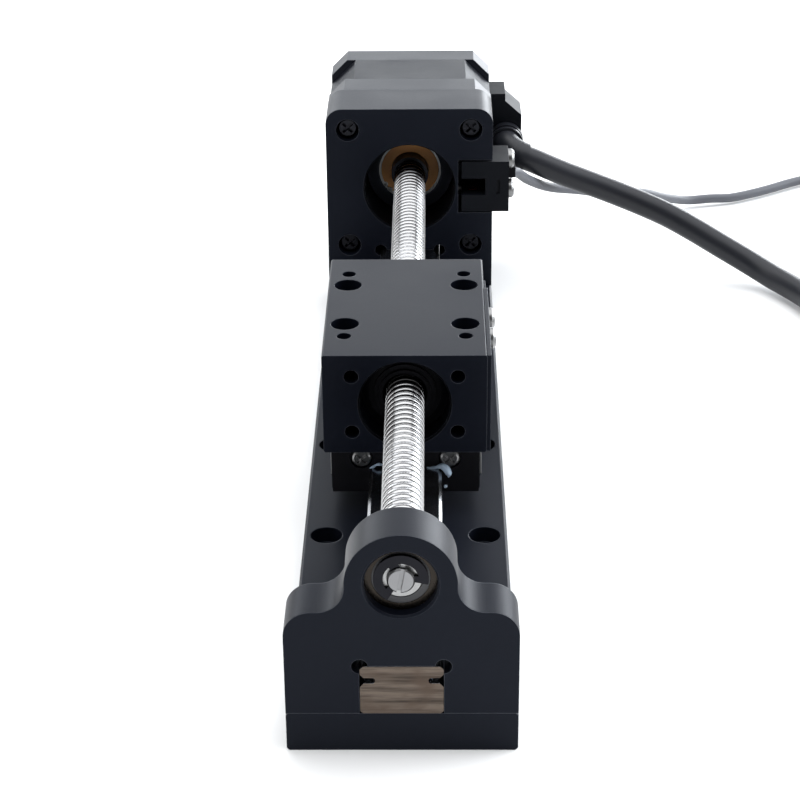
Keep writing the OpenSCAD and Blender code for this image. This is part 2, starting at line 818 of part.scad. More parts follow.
module nut_wipers() {
    color(black) {
        turned(nut_front - 1.2) polygon([[4.1, 3.7], [7.5, 3.7], [7.5, 1.2], [6.4, 1.2], [6.4, 0.6],
            [5.4, 0.6], [5.4, 0], [4.6, 0], [4.6, 1.2], [4.1, 1.7]]);
        tube(table_rear + nut_flange_t - wiper_t, table_rear + nut_flange_t, 15, 8.2);
    }
}

// Guide carriage
guide_front = carriage_y - guide_l / 2;
guide_rear = carriage_y + guide_l / 2;
core_front = carriage_y - guide_core_l / 2;
core_rear = carriage_y + guide_core_l / 2;

module guide_outline(w, z0, z1, gap) {
    half = w / 2;
    in = rail_w / 2 + gap;
    top = rail_top + gap;
    polygon([[half - 0.5, z0], [half, z0 + 0.5], [half, z1 - 0.5], [half - 0.5, z1], [-half + 0.5, z1],
        [-half, z1 - 0.5], [-half, z0 + 0.5], [-half + 0.5, z0], [-in, z0], [-in, top], [in, top], [in, z0]]);
}

module guide_block() {
    color(steel) difference() {
        slab(core_front, core_rear) guide_outline(guide_w, guide_z[0], guide_z[1], guide_gap);
        for (s = [-1, 1]) {
            rod(core_front - 1, core_rear + 1, guide_ball_d + 2 * race_gap, s * guide_ball_x, groove_z);
            rod(core_front - 1, core_rear + 1, guide_ball_d + 0.4, s * return_x, return_z);
        }
        for (x = [-table_hole_x, table_hole_x], y = [-table_hole_y, table_hole_y])
            post(x, carriage_y + y, guide_z[1] - 4, guide_z[1] + 1, m3_tap);
        for (x = [-cap_screw_x, cap_screw_x]) rod(core_front - 1, core_rear + 1, 2.2, x, cap_screw_z);
    }
}

module guide_balls() {
    step = (guide_core_l - guide_ball_d) / (guide_ball_count - 1);
    color(bright) for (s = [-1, 1], i = [0:guide_ball_count - 1]) {
        y = core_front + guide_ball_d / 2 + i * step;
        translate([s * guide_ball_x, y, groove_z]) sphere(d = guide_ball_d, $fn = 32);
        translate([s * return_x, y, return_z]) sphere(d = guide_ball_d, $fn = 32);
    }
}

module guide_end_cap(y0, y1) {
    color(black) difference() {
        slab(y0, y1) guide_outline(guide_w - 1, guide_z[0] + 0.2, guide_z[1] - 0.4, guide_gap + 0.3);
        for (x = [-cap_screw_x, cap_screw_x]) rod(y0 - 1, y1 + 1, 2.2, x, cap_screw_z);
    }
}

module guide_end_cap_front() guide_end_cap(guide_front + seal_t, core_front);

module guide_end_cap_rear() guide_end_cap(core_rear, guide_rear - seal_t);

// The end seals' lips follow the rail
module guide_seal(y0) {
    lip = rail_half(0.1);
    color(black) difference() {
        slab(y0, y0 + seal_t) difference() {
            translate([-guide_w / 2 + 0.7, guide_z[0] + 0.4])
                square([guide_w - 1.4, guide_z[1] - guide_z[0] - 1]);
            polygon([each lip, each mirrored(lip)]);
        }
        for (x = [-cap_screw_x, cap_screw_x]) rod(y0 - 1, y0 + seal_t + 1, 4.6, x, cap_screw_z);
    }
}

module guide_seals() {
    guide_seal(guide_front);
    guide_seal(guide_rear - seal_t);
}

module guide_cap_screws() {
    color(steel) for (x = [-cap_screw_x, cap_screw_x]) {
        pan_screw(guide_front - 0.2, 4.4, seal_t + 0.2, 2.1, 10, x, cap_screw_z);
        translate([0, 2 * carriage_y, 0]) mirror([0, 1, 0])
            pan_screw(guide_front - 0.2, 4.4, seal_t + 0.2, 2.1, 10, x, cap_screw_z);
    }
}

// Flag for the sensor: a thin plate on the table's side, with a tab that runs into the sensor's slot
module flag_plate() {
    x0 = table_w / 2;
    x1 = x0 + flag_t;
    tab_y = table_rear + nut_flange_t + 0.3;
    plate_y = carriage_y + 11;
    corner = 3;
    color(black) difference() {
        union() {
            block([x0, table_front + 0.2, table_z + 0.2], [x1, plate_y, table_top - corner]);
            block([x0, table_front + 0.2, table_z + 0.2], [x1, plate_y - corner, table_top - 0.1]);
            translate([x0, plate_y - corner, table_top - corner]) rotate([0, 90, 0])
                cylinder(h = flag_t, r = corner - 0.1);
            block([x0, plate_y - 1, flag_z - 3.5], [x1, tab_y, flag_z + 3.8]);
            block([x0 - 0.4, table_rear + 0.1, flag_z - 0.4], [x1, tab_y + eps, flag_z + 0.4]);
            block([14.2, tab_y, flag_z - 0.4], [x1, table_rear + flag_reach, flag_z + 0.4]);
        }
        for (y = flag_screw_y) translate([x0 - 1, y, flag_screw_z]) rotate([0, 90, 0])
            cylinder(h = 3, d = 2.5, $fn = 32);
    }
}

module flag_screws() {
    x1 = table_w / 2 + flag_t;
    color(steel) for (y = flag_screw_y) translate([x1, y, flag_screw_z]) rotate([0, 0, 90])
        translate([0, 0, -axis_z]) pan_screw(-1.5, 4.6, 1.5, 2.4, 4);
}

// Motor cable
module cable_outlet_box() {
    x = box_x;
    color(black) slab(box_y[0], box_y[1])
        polygon([[x, 26], [x + 8.7, 26], [x + 8.7, 41.5], [x + 4.3, 45.5], [x + 4.3, 47.4], [x, 47.4]]);
}

// A ribbed elbow of rubber, moulded round the cable, from the box's front face round to the right
module cable_boot() {
    color(black) translate([boot_x, 0, boot_z]) rotate([0, boot_tilt, 0]) {
        for (c = [[0, 2.4, 9.1], [1, boot_straight, 8.2], [3.4, boot_straight, 9]])
            rod(box_y[0] - c[1], box_y[0] - c[0], c[2], 0, 0);
        translate([boot_bend, box_y[0] - boot_straight, 0]) rotate([0, 0, 180]) rotate_extrude(angle = 90)
            translate([boot_bend, 0]) circle(d = boot_d);
    }
}

module motor_cable() {
    color(black) {
        sweep(motor_route, motor_r, 12);
        sweep(motor_tail, motor_r, 12);
    }
}

module motor_cable_coil() {
    color(black) coil(motor_coil_at, motor_coil_r, motor_coil_w, motor_coil_h, 2.5);
}

module motor_cable_tie() {
    color([0.2, 0.2, 0.21]) tie(motor_coil_at, motor_coil_r, motor_coil_w, motor_coil_h, 4.8, 0);
}

// A round plug that lies on the floor
module motor_connector() {
    at = motor_tail[len(motor_tail) - 1];
    color([0.15, 0.15, 0.16]) translate(at) rotate([0, 0, motor_plug_turn]) rotate([0, 90, 0]) {
        cylinder(h = 6, d1 = 8.5, d2 = 11);
        translate([0, 0, 6]) cylinder(h = 13, d = 13);
        translate([0, 0, 19]) cylinder(h = 12, d = 2 * at[2]);
    }
}

// Sensor cable
module sensor_cable_boot() {
    color(black) translate([sensor_x[1], sensor_route[0][1] - 2, sensor_route[0][2] - 0.4])
        cube([2, 2, 2.7]);
}

module sensor_cable() {
    color([0.35, 0.36, 0.38]) {
        sweep(sensor_route, sensor_r, 8);
        sweep(sensor_tail, sensor_r, 8);
    }
}

module sensor_cable_coil() {
    color([0.35, 0.36, 0.38]) coil(sensor_coil_at, sensor_coil_r, sensor_coil_w, sensor_coil_h, 1.2);
}

module sensor_cable_tie() {
    color([0.2, 0.2, 0.21]) tie(sensor_coil_at, sensor_coil_r, sensor_coil_w, sensor_coil_h, 3, 0);
}

// A small flat plug with four contacts' openings in its end
module sensor_connector() {
    at = sensor_tail[len(sensor_tail) - 1];
    color([0.9, 0.9, 0.87]) translate([at[0], at[1], 0]) rotate([0, 0, sensor_plug_turn]) difference() {
        translate([0, -5.2, 0]) cube([9, 10.4, 5.8]);
        for (i = [-1.5:1.5]) translate([7, i * 2.5 - 0.6, 2.2]) cube([3, 1.2, 1.4]);
    }
}

base_plate();
end_block();
end_block_screws();
motor_bracket();
bracket_screws();
rail();
rail_screws();
front_bearing_outer();
front_bearing_shields();
front_bearing_balls();
front_bearing_inner();
e_clip();
ball_screw();
screw_collar();
motor_bearing_outer();
motor_bearing_seal();
motor_bearing_balls();
motor_bearing_inner();
retaining_ring();
motor_front_cap();
stator();
windings();
motor_rear_cap();
rotor_cups();
rotor_magnet();
rear_bearing_outer();
rear_bearing_balls();
rear_bearing_inner();
wave_washer();
motor_bolts();
motor_mount_screws();
sensor_body();
sensor_screws();
sensor_windows();
table();
table_screws();
ball_nut();
nut_screws();
nut_balls();
nut_wipers();
guide_block();
guide_end_cap_front();
guide_end_cap_rear();
guide_seals();
guide_cap_screws();
guide_balls();
flag_plate();
flag_screws();
cable_outlet_box();
cable_boot();
motor_cable();
motor_cable_coil();
motor_cable_tie();
motor_connector();
sensor_cable();
sensor_cable_boot();
sensor_cable_coil();
sensor_cable_tie();
sensor_connector();
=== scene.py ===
import math

import bmesh
import bpy
from mathutils import Matrix, Vector


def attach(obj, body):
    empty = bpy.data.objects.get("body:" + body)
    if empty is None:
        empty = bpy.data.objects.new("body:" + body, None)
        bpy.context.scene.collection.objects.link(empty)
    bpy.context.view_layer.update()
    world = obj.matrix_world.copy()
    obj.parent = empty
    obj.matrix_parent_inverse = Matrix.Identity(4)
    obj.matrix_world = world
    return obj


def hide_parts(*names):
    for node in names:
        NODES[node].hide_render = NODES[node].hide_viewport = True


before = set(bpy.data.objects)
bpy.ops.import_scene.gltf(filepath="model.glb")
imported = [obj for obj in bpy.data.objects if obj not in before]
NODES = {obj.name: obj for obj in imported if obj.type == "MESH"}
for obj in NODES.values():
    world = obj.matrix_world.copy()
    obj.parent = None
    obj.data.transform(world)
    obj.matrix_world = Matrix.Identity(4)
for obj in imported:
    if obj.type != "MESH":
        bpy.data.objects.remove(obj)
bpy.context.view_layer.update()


# ---------------------------------------------------------------- sizes shared with the CAD (metres)
AXIS_Z = 0.035
FRONT_Y = -0.1035
THREAD_START = -0.0955
THREAD_END = 0.0977
LEAD = 0.002
TIE_THICKNESS = 0.0006
JOURNAL_R = 0.00249

# How far two faces may turn at an edge that is still drawn smooth, in degrees
SMOOTH_ANGLE = 35
THREAD_SMOOTH_ANGLE = 24
CORD_SMOOTH_ANGLE = 50
LATHE_SIDES = 96

# ---------------------------------------------------------------- camera
CAMERA_AT = (0.005553, -0.42422, 0.2325)
cam_data = bpy.data.cameras.new("camera")
camera = bpy.data.objects.new("camera", cam_data)
bpy.context.scene.collection.objects.link(camera)
bpy.context.scene.camera = camera
pitch, yaw, roll = 0.46606, 0.01667, -0.01016
cam_data.sensor_width = 36
cam_data.lens = 96.845
cam_data.clip_start = 0.02
cam_data.clip_end = 20
forward = Vector((-math.sin(yaw) * math.cos(pitch), math.cos(yaw) * math.cos(pitch), -math.sin(pitch)))
right0 = Vector((math.cos(yaw), math.sin(yaw), 0))
up0 = right0.cross(forward)
right = math.cos(roll) * right0 + math.sin(roll) * up0
up = -math.sin(roll) * right0 + math.cos(roll) * up0
rotation = Matrix((right, up, -forward)).transposed().to_4x4()
camera.matrix_world = Matrix.Translation(CAMERA_AT) @ rotation


# ---------------------------------------------------------------- mesh helpers
def add_mesh(name, verts, faces, smooth=True, sharp=None):
    mesh = bpy.data.meshes.new(name)
    mesh.from_pydata([tuple(v) for v in verts], [], faces)
    mesh.validate()
    mesh.update()
    if smooth:
        mesh.polygons.foreach_set("use_smooth", [True] * len(mesh.polygons))
        if sharp:
            mesh.set_sharp_from_angle(angle=math.radians(sharp))
    obj = bpy.data.objects.new(name, mesh)
    bpy.context.scene.collection.objects.link(obj)
    return obj


def edit_mesh(obj, *steps):
    """Runs each step on the object's mesh."""
    bm = bmesh.new()
    bm.from_mesh(obj.data)
    for step in steps:
        step(bm)
    bm.to_mesh(obj.data)
    bm.free()


def merge_points(bm):
    bmesh.ops.remove_doubles(bm, verts=bm.verts, dist=1e-7)


def face_outwards(bm):
    bmesh.ops.recalc_face_normals(bm, faces=bm.faces)


def drop_slivers(bm):
    bmesh.ops.dissolve_degenerate(bm, dist=1e-7, edges=bm.edges)


def catmull(points, step):
    """A smooth path through the points, with one point about every step."""
    pts = [Vector(p) for p in points]
    pts = [2 * pts[0] - pts[1]] + pts + [2 * pts[-1] - pts[-2]]
    out = []
    for i in range(1, len(pts) - 2):
        p0, p1, p2, p3 = pts[i - 1:i + 3]
        n = max(1, round((p2 - p1).length / step))
        d01, d12, d23 = [max(1e-6, (b - a).length) ** 0.5 for a, b in ((p0, p1), (p1, p2), (p2, p3))]
        m1 = (p2 - p1) - d12 * ((p2 - p0) / (d01 + d12) - (p1 - p0) / d01)
        m2 = (p2 - p1) + d12 * ((p3 - p2) / d23 - (p3 - p1) / (d12 + d23))
        for k in range(n):
            t = k / n
            a = (2 * t ** 3 - 3 * t ** 2 + 1) * p1 + (t ** 3 - 2 * t ** 2 + t) * m1
            out.append(a + (-2 * t ** 3 + 3 * t ** 2) * p2 + (t ** 3 - t ** 2) * m2)
    out.append(pts[-2])
    return out


def sweep(name, path, radius, sides, dents=None):
    """A round tube along a path. dents gives a change of radius at each point."""
    path = [Vector(p) for p in path]
    n = len(path)
    verts = []
    normal = None
    for i, p in enumerate(path):
        t = (path[min(i + 1, n - 1)] - path[max(i - 1, 0)]).normalized()
        if normal is None:
            normal = t.cross(Vector((0, 0, 1)))
            if normal.length < 1e-3:
                normal = t.cross(Vector((1, 0, 0)))
        normal = (normal - normal.dot(t) * t).normalized()
        b = t.cross(normal)
        r = radius + (dents[i] if dents else 0)
        verts += [p + r * (math.cos(a) * normal + math.sin(a) * b)
                  for a in (2 * math.pi * k / sides for k in range(sides))]
    faces = []
    for i in range(n - 1):
        for k in range(sides):
            ring, after, beside = i * sides, (i + 1) * sides, (k + 1) % sides
            faces.append((ring + k, ring + beside, after + beside, after + k))
    faces.append(tuple(range(sides - 1, -1, -1)))
    faces.append(tuple((n - 1) * sides + k for k in range(sides)))
    return add_mesh(name, verts, faces, sharp=CORD_SMOOTH_ANGLE)


def lathe(name, profile, y0):
    """Turns a profile of (radius, distance along +Y) round the screw's axis."""
    m = len(profile)
    verts = []
    for k in range(LATHE_SIDES):
        a = 2 * math.pi * k / LATHE_SIDES
        verts += [(r * math.sin(a), y0 + y, AXIS_Z + r * math.cos(a)) for r, y in profile]
    faces = []
    for k in range(LATHE_SIDES):
        row, after = k * m, ((k + 1) % LATHE_SIDES) * m
        faces += [(row + i, after + i, after + i + 1, row + i + 1) for i in range(m - 1)]
    obj = add_mesh(name, verts, faces)
    edit_mesh(obj, merge_points, face_outwards)
    obj.data.set_sharp_from_angle(angle=math.radians(SMOOTH_ANGLE))
    return obj


def cut(obj, tool):
    """Cuts one mesh out of another."""
    mod = obj.modifiers.new("cut", "BOOLEAN")
    mod.operation = "DIFFERENCE"
    mod.object = tool
    mod.solver = "EXACT"
    graph = bpy.context.evaluated_depsgraph_get()
    mesh = bpy.data.meshes.new_from_object(obj.evaluated_get(graph))
    obj.modifiers.clear()
    obj.data = mesh
    obj.data.set_sharp_from_angle(angle=math.radians(SMOOTH_ANGLE))
    bpy.data.objects.remove(tool)


def box_mesh(name, low, high):
    (x0, y0, z0), (x1, y1, z1) = low, high
    verts = [(x, y, z) for x in (x0, x1) for y in (y0, y1) for z in (z0, z1)]
    faces = [(0, 1, 3, 2), (4, 6, 7, 5), (0, 4, 5, 1), (2, 3, 7, 6), (0, 2, 6, 4), (1, 5, 7, 3)]
    obj = add_mesh(name, verts, faces, smooth=False)
    edit_mesh(obj, face_outwards)
    return obj


# ---------------------------------------------------------------- cords
def mm(points):
    return [Vector(p) * 0.001 for p in points]


def spiral(centre, r0, r1, z0, z1, a0, degrees, step):
    """Turns about a centre, of radius r0 to r1. The height eases from z0 to z1 as the turn starts."""
    ease_degrees = 70
    n = round(math.radians(abs(degrees)) * (r0 + r1) / 2 / step)
    out = []
    for k in range(n):
        t = k / n
        a = math.radians(a0 + degrees * t)
        r = r0 + (r1 - r0) * t
        e = min(1.0, t * abs(degrees) / ease_degrees)
        z = z0 + (z1 - z0) * e * e * (3 - 2 * e)
        out.append(Vector((centre[0] + r * math.cos(a), centre[1] + r * math.sin(a), z)))
    return out


# The motor cable: from the end of its boot, down to the floor, round its coil and into its plug.
# The boot and the routes are in millimetres.
MOTOR_R = 0.00325
MOTOR_STEP = 0.0022
tilt = math.radians(22)
boot_x, boot_z, box_front_y = 25.6, 35, 125
boot_straight, boot_bend = 4.6, 5.2
boot_end = Vector((boot_x + boot_bend * math.cos(tilt), box_front_y - boot_straight - boot_bend,
                   boot_z - boot_bend * math.sin(tilt)))
motor_route = [
    boot_end, boot_end + 2.5 * Vector((math.cos(tilt), 0, -math.sin(tilt))), (36.5, 115.5, 30.3),
    (41, 115.8, 28.2), (47, 116.2, 25.7), (53.5, 116.5, 23), (60.3, 116, 20.3), (68.3, 114.5, 17.1),
    (75.8, 112, 13.6), (82, 109.5, 10.5), (87.5, 107.3, 7.8), (92, 105, 5.7), (95.8, 101.5, 4.4),
    (99.5, 96.5, 3.9), (102.8, 90.3, 3.85), (105.2, 83.5, 3.85), (107, 76, 3.85), (108.2, 67.5, 3.85),
    (108.75, 58, 3.85),
]
motor_centre = (0.1545, 0.058)
motor_low = TIE_THICKNESS + MOTOR_R
motor_tail = [
    (128.25, 58, 3.85), (128.25, 55, 4.9), (128.25, 51, 7.4), (128.25, 46, 9.7), (128.25, 40, 10.5),
    (128.25, 28, 10.5), (128.25, 19, 10), (128.25, 12, 8.4), (128.25, 8, 7.5),
]
motor_path = catmull(mm(motor_route), MOTOR_STEP)[:-1]
motor_path += spiral(motor_centre, r0=0.04575, r1=0.02625, z0=motor_low, z1=motor_low,
                     a0=180, degrees=1080, step=MOTOR_STEP)
motor_path += catmull(mm(motor_tail), MOTOR_STEP)
cable = sweep("motor_cable_run", motor_path, MOTOR_R, 24)
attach(cable, "base")
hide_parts("motor_cable", "motor_cable_coil")

# The sensor cable: from the sensor, down to the floor, then a coil wound inwards with a second layer back
# out on top of it, and into its plug
SENSOR_R = 0.0013
SENSOR_STEP = 0.0016
SENSOR_COIL_STEP = 0.0014
sensor_route = [
    (26, 100, 34.4), (27.3, 102, 34), (31, 109.8, 28.9), (37, 118.1, 23.6), (46, 126.9, 19.3),
    (56, 134.5, 15), (64.9, 143.5, 11.9), (72.5, 153.5, 6.5), (80.3, 161.5, 2.6), (87, 163.5, 2.3),
    (92.7, 165, 1.9), (99, 168.1, 1.9), (105.7, 172.4, 1.9), (111.5, 176.6, 1.9), (117.2, 180, 1.9),
    (124, 183.1, 1.9), (130.5, 186.1, 1.9), (136.46, 188.6, 1.9),
]
sensor_centre = (0.145, 0.1703)
sensor_low = TIE_THICKNESS + SENSOR_R
sensor_high = sensor_low + 0.0026
sensor_tail = [(145, 151.2, 4.5), (139, 151, 4.35), (133, 149.7, 3.8), (128, 147.6, 3.1), (125.5, 146.3, 2.9)]
sensor_path = catmull(mm(sensor_route), SENSOR_STEP)[:-1]
sensor_path += spiral(sensor_centre, r0=0.0202, r1=0.0098, z0=sensor_low, z1=sensor_low,
                      a0=115, degrees=-1440, step=SENSOR_COIL_STEP)
sensor_path += spiral(sensor_centre, r0=0.0098, r1=0.0191, z0=sensor_low, z1=sensor_high,
                      a0=115, degrees=-1285, step=SENSOR_COIL_STEP)
sensor_path += catmull(mm(sensor_tail), SENSOR_STEP)
lead_cable = sweep("sensor_cable_run", sensor_path, SENSOR_R, 14)
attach(lead_cable, "base")
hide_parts("sensor_cable", "sensor_cable_coil")


# ---------------------------------------------------------------- ball screw
def thread(name):
    """A right-hand ball thread: a flat land, then a round groove, once in every lead."""
    r_out, r_root, land = 0.004, 0.00362, 0.34
    r_edge, edge = r_out - 0.00003, 0.03
    roundness = 0.6
    groove_points = 12
    profile = [(0.0, r_edge), (edge, r_out), (land - edge, r_out), (land, r_edge)]
    for i in range(1, groove_points):
        t = i / groove_points
        depth = (r_edge - r_root) * math.sin(math.pi * t) ** roundness
        profile.append((land + (1 - land) * t, r_edge - depth))
    sides = 64
    first = THREAD_START - 2 * LEAD
    turns = int((THREAD_END - first) / LEAD) + 3
    verts = []
    for k in range(sides + 1):
        phi = 2 * math.pi * k / sides
        for j in range(turns):
            for s, r in profile:
                y = first + (j + s + k / sides) * LEAD
                y = min(max(y, THREAD_START), THREAD_END)
                verts.append((r * math.cos(phi), y, AXIS_Z - r * math.sin(phi)))
    rows = turns * len(profile)
    faces = [(k * rows + i, k * rows + i + 1, (k + 1) * rows + i + 1, (k + 1) * rows + i)
             for k in range(sides) for i in range(rows - 1)]
    obj = add_mesh(name, verts, faces, sharp=THREAD_SMOOTH_ANGLE)
    edit_mesh(obj, drop_slivers)
    obj.data.set_sharp_from_angle(angle=math.radians(THREAD_SMOOTH_ANGLE))
    return obj


screw_thread = thread("screw_thread")
# From the front: a chamfered end, the E-clip's groove, the bearing's seat and a shoulder
journal = lathe("screw_front_journal", [
    (0.0, 0.0012), (JOURNAL_R - 0.0003, 0.0012), (JOURNAL_R, 0.0015), (JOURNAL_R, 0.0018),
    (0.0021, 0.0018), (0.0021, 0.0024), (JOURNAL_R, 0.0024), (JOURNAL_R, 0.0064),
    (0.0032, 0.0064), (0.0032, 0.008), (0.0036, 0.0082), (0.0036, 0.0083), (0.0, 0.0083),
], FRONT_Y)
slot_tool = box_mesh("slot_tool", (-0.0004, -0.001, -0.004), (0.0004, 0.0020, 0.004))
slot_tool.data.transform(Matrix.Translation((0, FRONT_Y, AXIS_Z)) @ Matrix.Rotation(math.radians(10), 4, "Y"))
cut(journal, slot_tool)
rear_journal = lathe("screw_rear_journal", [
    (0.0, -0.0007), (0.0036, -0.0007), (0.0036, 0.0), (JOURNAL_R, 0.0), (JOURNAL_R, 0.009),
    (0.0032, 0.009), (0.0032, 0.011), (JOURNAL_R, 0.011), (JOURNAL_R, 0.0308),
    (0.0032, 0.0308), (0.0032, 0.0318), (JOURNAL_R, 0.0318), (JOURNAL_R, 0.0368), (0.0, 0.0368),
], THREAD_END)
for piece in (screw_thread, journal, rear_journal):
    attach(piece, "screw")
    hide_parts("ball_screw")


# ---------------------------------------------------------------- grease pushed out by the guide's front seal
def grease(name, points, radius, swell):
    """A soft string of grease. swell gives its thickness along the way, from 0 to 1."""
    step, sides = 0.00012, 16
    path = catmull(mm(points), step)
    n = len(path) - 1
    dents = []
    for i in range(n + 1):
        t = i / n * (len(swell) - 1)
        k = min(int(t), len(swell) - 2)
        dents.append(radius * (swell[k] + (swell[k + 1] - swell[k]) * (t - k) - 1))
    obj = sweep(name, path, radius, sides, dents)
    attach(obj, "carriage")
    return obj


# Each string's points in millimetres, its radius in metres and its swell
GREASE = {
    "grease_right": (
        [(4.4, -29.5, 18.2), (5.4, -29.6, 18), (6.4, -29.7, 18.3), (7.5, -29.8, 18.6), (8.5, -29.8, 17.9),
         (9, -29.7, 16.6), (8.9, -29.6, 15.8)], 0.0008, [0.1, 0.55, 0.4, 0.85, 1.0, 0.9, 0.1]),
    "grease_left": (
        [(-7.6, -29.5, 18), (-6.8, -29.5, 18.3), (-5.8, -29.5, 18.9), (-4.6, -29.5, 18.8)], 0.0004,
        [0.1, 0.8, 0.5, 0.9, 0.1]),
    "grease_drop": (
        [(8.1, -29.4, 14), (8.3, -29.5, 13.7), (8.5, -29.4, 13.3)], 0.0004, [0.1, 1.0, 1.0, 0.1]),
}
grease_strings = [grease(name, *facts) for name, facts in GREASE.items()]


# ---------------------------------------------------------------- materials
COOL_TINT = (0.80, 0.87, 1.0)


class Net:
    """Short names for adding and joining shader nodes."""

    def __init__(self, name):
        self.mat = bpy.data.materials.new(name)
        self.mat.use_nodes = True
        self.tree = self.mat.node_tree
        self.tree.nodes.clear()
        out = self.tree.nodes.new("ShaderNodeOutputMaterial")
        self.bsdf = self.tree.nodes.new("ShaderNodeBsdfPrincipled")
        self.join(self.bsdf.outputs[0], out.inputs["Surface"])
        self.coord = self.tree.nodes.new("ShaderNodeTexCoord")

    def join(self, a, b):
        self.tree.links.new(a, b)

    def noise(self, scale, detail, stretch=(1, 1, 1), rough=0.5):
        mapping = self.tree.nodes.new("ShaderNodeMapping")
        mapping.inputs["Scale"].default_value = stretch
        self.join(self.coord.outputs["Object"], mapping.inputs["Vector"])
        n = self.tree.nodes.new("ShaderNodeTexNoise")
        n.inputs["Scale"].default_value = scale
        n.inputs["Detail"].default_value = detail
        n.inputs["Roughness"].default_value = rough
        self.join(mapping.outputs[0], n.inputs["Vector"])
        return n.outputs["Fac"]

    def split(self, vector):
        """The X, Y and Z of a vector."""
        sep = self.tree.nodes.new("ShaderNodeSeparateXYZ")
        self.join(vector, sep.inputs[0])
        return sep.outputs

    def ramp(self, fac, low, high, a=0.0, b=1.0):
        """Takes fac from the range a to b into the range low to high."""
        r = self.tree.nodes.new("ShaderNodeMapRange")
        r.inputs["From Min"].default_value = a
        r.inputs["From Max"].default_value = b
        r.inputs["To Min"].default_value = low
        r.inputs["To Max"].default_value = high
        self.join(fac, r.inputs["Value"])
        return r.outputs[0]

    def mix(self, fac, a, b):
        m = self.tree.nodes.new("ShaderNodeMix")
        m.data_type = "RGBA"
        self.join(fac, m.inputs[0])
        for socket, value in ((m.inputs[6], a), (m.inputs[7], b)):
            if isinstance(value, tuple):
                socket.default_value = (*value, 1.0)
            else:
                self.join(value, socket)
        return m.outputs[2]

    def mottle(self, cloud, a, b):
        """A colour that wanders between a and b with the cloud."""
        return self.mix(self.ramp(cloud, 0, 1, 0.3, 0.7), a, b)

    def math(self, op, a, b=None):
        m = self.tree.nodes.new("ShaderNodeMath")
        m.operation = op
        for socket, value in ((m.inputs[0], a), (m.inputs[1], b)):
            if value is None:
                continue
            if isinstance(value, (int, float)):
                socket.default_value = value
            else:
                self.join(value, socket)
        return m.outputs[0]

    def set(self, name, value):
        s = self.bsdf.inputs[name]
        if isinstance(value, (int, float)):
            s.default_value = value
        elif isinstance(value, tuple):
            s.default_value = (*value, 1.0)
        else:
            self.join(value, s)

    def edge_highlight_mask(self, radius):
        """1 at an outer or inner edge, 0 on a flat face; it places the painted edge highlight."""
        bevel = self.tree.nodes.new("ShaderNodeBevel")
        bevel.samples = 8
        bevel.inputs["Radius"].default_value = radius
        geo = self.tree.nodes.new("ShaderNodeNewGeometry")
        dot = self.tree.nodes.new("ShaderNodeVectorMath")
        dot.operation = "DOT_PRODUCT"
        self.join(bevel.outputs[0], dot.inputs[0])
        self.join(geo.outputs["Normal"], dot.inputs[1])
        return self.ramp(dot.outputs["Value"], 1.0, 0.0, 0.82, 0.985)

    def bump(self, heights, edge=0.0):
        """heights is a list of (factor, distance in metres). edge rounds the edges by that radius."""
        normal = None
        if edge:
            b = self.tree.nodes.new("ShaderNodeBevel")
            b.samples = 6
            b.inputs["Radius"].default_value = edge
            normal = b.outputs[0]
        for fac, dist in heights:
            b = self.tree.nodes.new("ShaderNodeBump")
            b.inputs["Distance"].default_value = dist
            b.inputs["Strength"].default_value = 1.0
            self.join(fac, b.inputs["Height"])
            if normal is not None:
                self.join(normal, b.inputs["Normal"])
            normal = b.outputs[0]
        self.join(normal, self.bsdf.inputs["Normal"])


def anodised(name, a, b, spec, painted_shade_radius=0.0):
    """The last argument is the radius about the screw's axis within which the colour is painted near-black
    and less shiny: painted shade in the hole about the screw.
    """
    n = Net(name)
    cloud = n.noise(28, 4)
    fine = n.noise(2600, 2)
    colour = n.mottle(cloud, a, b)
    shine = spec
    if painted_shade_radius:
        place = n.split(n.coord.outputs["Object"])
        x = place["X"]
        z = n.math("SUBTRACT", place["Z"], AXIS_Z)
        dist = n.math("SQRT", n.math("ADD", n.math("MULTIPLY", x, x), n.math("MULTIPLY", z, z)))
        # painted shade: within that radius the colour goes near-black and the shine drops to a quarter
        in_painted_shade = n.math("LESS_THAN", dist, painted_shade_radius)
        colour = n.mix(in_painted_shade, colour, (0.0012, 0.0014, 0.0022))
        shine = n.ramp(in_painted_shade, spec, spec * 0.25)
    # painted highlight: edges are lightened towards a pale blue-grey, more in some places than others
    painted_edge_highlight = n.math("MULTIPLY", n.edge_highlight_mask(0.00022), n.ramp(cloud, 0.35, 0.9, 0.3, 0.7))
    n.set("Base Color", n.mix(painted_edge_highlight, colour, (0.110, 0.120, 0.140)))
    n.set("Roughness", n.math("ADD", n.ramp(cloud, 0.34, 0.44, 0.35, 0.65), n.ramp(fine, -0.03, 0.03)))
    n.set("Specular IOR Level", shine)
    n.set("Specular Tint", COOL_TINT)
    n.bump([(fine, 0.000006)], 0.00025)
    return n.mat


def screw_steel():
    """Ground thread, painted near-black towards its rear end as painted shade where it enters the motor's
    bearing.
    """
    n = Net("thread_steel")
    cloud = n.noise(60, 4)
    lines = n.noise(1400, 2, (1, 6, 1))
    # painted shade: from here to the rear end the thread is painted near-black, where it goes into the
    # motor's bearing
    painted_shade_from, painted_shade_full = 0.0865, 0.0915
    y = n.math("ADD", n.split(n.coord.outputs["Object"])["Y"], n.ramp(cloud, -0.001, 0.001))
    painted_shade = n.ramp(y, 0, 1, painted_shade_from, painted_shade_full)
    clean = n.mottle(cloud, (0.35, 0.35, 0.355), (0.44, 0.44, 0.445))
    n.set("Base Color", n.mix(painted_shade, clean, (0.018, 0.018, 0.021)))
    n.set("Roughness", n.math("ADD", n.ramp(cloud, 0.21, 0.29, 0.3, 0.7), n.ramp(lines, -0.04, 0.04)))
    n.set("Metallic", 1.0)
    n.bump([(lines, 0.000003)])
    return n.mat


